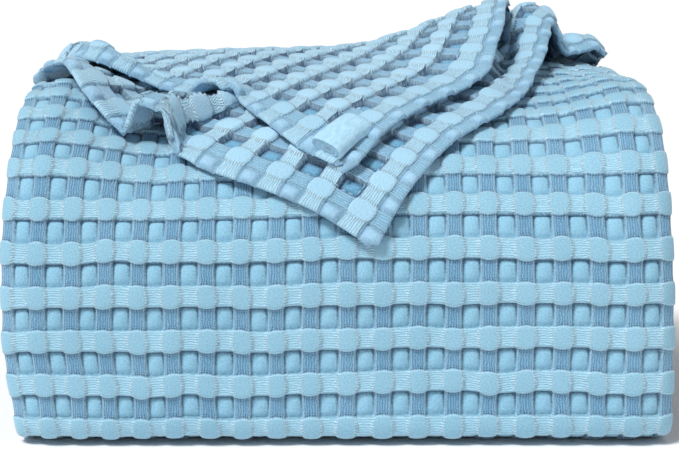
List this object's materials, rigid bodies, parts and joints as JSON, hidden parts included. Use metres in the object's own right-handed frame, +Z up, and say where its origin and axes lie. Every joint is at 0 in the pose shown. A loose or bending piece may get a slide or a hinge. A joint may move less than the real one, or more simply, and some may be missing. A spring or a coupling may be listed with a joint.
{
  "type": "folded waffle weave cotton blanket",
  "caption": "Folded waffle weave cotton blanket: a soft stack of layers with a broad rounded fold in front and its loose corners draped over the top.",
  "frame": {"origin": "middle of the underside of the bounding box, on the surface that the folded blanket rests on", "axes": "+Z up, +X along the broad front fold, towards the side with the raised swell of the loose corners; the broad front fold and the tips of the loose corners face -Y"},
  "size_m": [0.3764, 0.2994, 0.2379],
  "materials": {
    "cotton": "matte woven cotton with a deep waffle relief"
  },
  "bodies": {
    "root": {"blanket": "cotton"}
  },
  "joints": []
}
